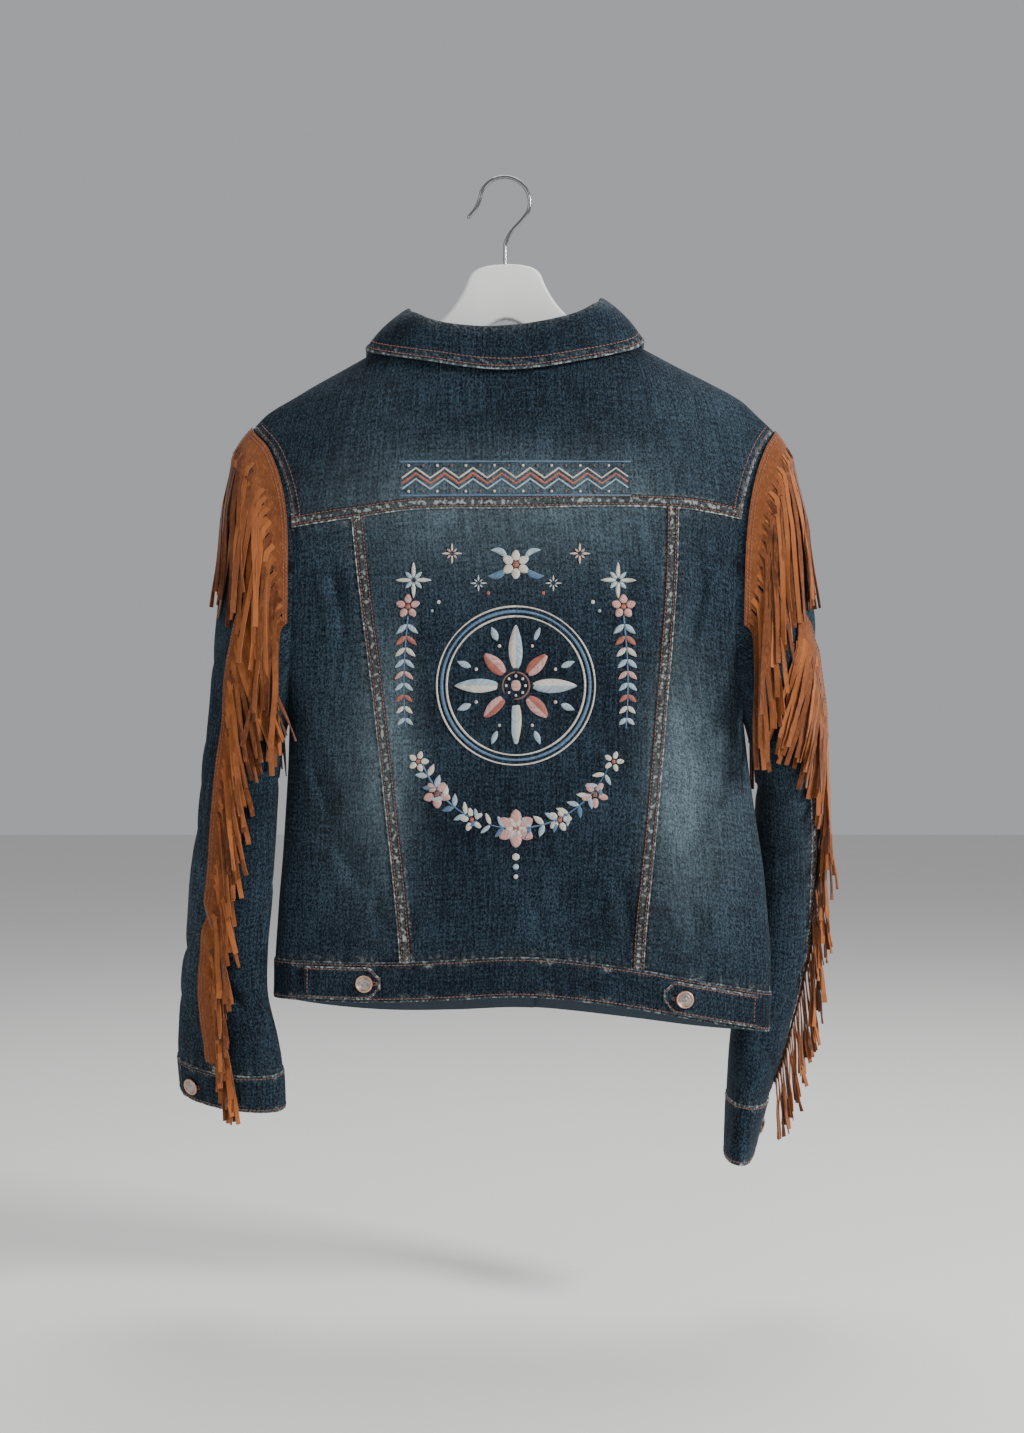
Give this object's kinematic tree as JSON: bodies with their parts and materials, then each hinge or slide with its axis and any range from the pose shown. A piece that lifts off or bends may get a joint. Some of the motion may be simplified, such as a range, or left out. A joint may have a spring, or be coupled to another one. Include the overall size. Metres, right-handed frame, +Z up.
{
  "type": "denim fringe jacket on hanger",
  "caption": "Short denim jacket with turn-down collar, buttoned front and suede fringe on shoulders and sleeves, hanging on a flat coat hanger with a wire hook.",
  "frame": {"origin": "inside top of the hanger's hook, where it is held", "axes": "+Z up, -Y towards the garment's back, which the picture shows, +X towards the wearer's right"},
  "size_m": [0.6162, 0.1508, 0.9203],
  "materials": {
    "denim": "washed indigo twill",
    "suede": "napped rust suede",
    "button": "antique copper",
    "hanger": "white satin paint on wood",
    "hook": "polished"
  },
  "bodies": {
    "root": {"back_centre": "denim", "back_side_left": "denim", "back_side_right": "denim", "back_yoke": "denim", "button_cuff_left": "button", "button_cuff_right": "button", "button_front_1": "button", "button_front_2": "button", "button_front_3": "button", "button_front_4": "button", "button_front_5": "button", "button_front_6": "button", "button_front_band": "button", "button_tab_left": "button", "button_tab_right": "button", "collar": "denim", "cuff_left": "denim", "cuff_right": "denim", "fringe_shoulder_left": "suede", "fringe_shoulder_right": "suede", "fringe_sleeve_left": "suede", "fringe_sleeve_right": "suede", "front_left": "denim", "front_placket": "denim", "front_right": "denim", "hanger_bow": "hanger", "hanger_hook": "hook", "sleeve_top_left": "denim", "sleeve_top_right": "denim", "sleeve_under_left": "denim", "sleeve_under_right": "denim", "tab_left": "denim", "tab_right": "denim", "waistband": "denim"}
  },
  "joints": []
}
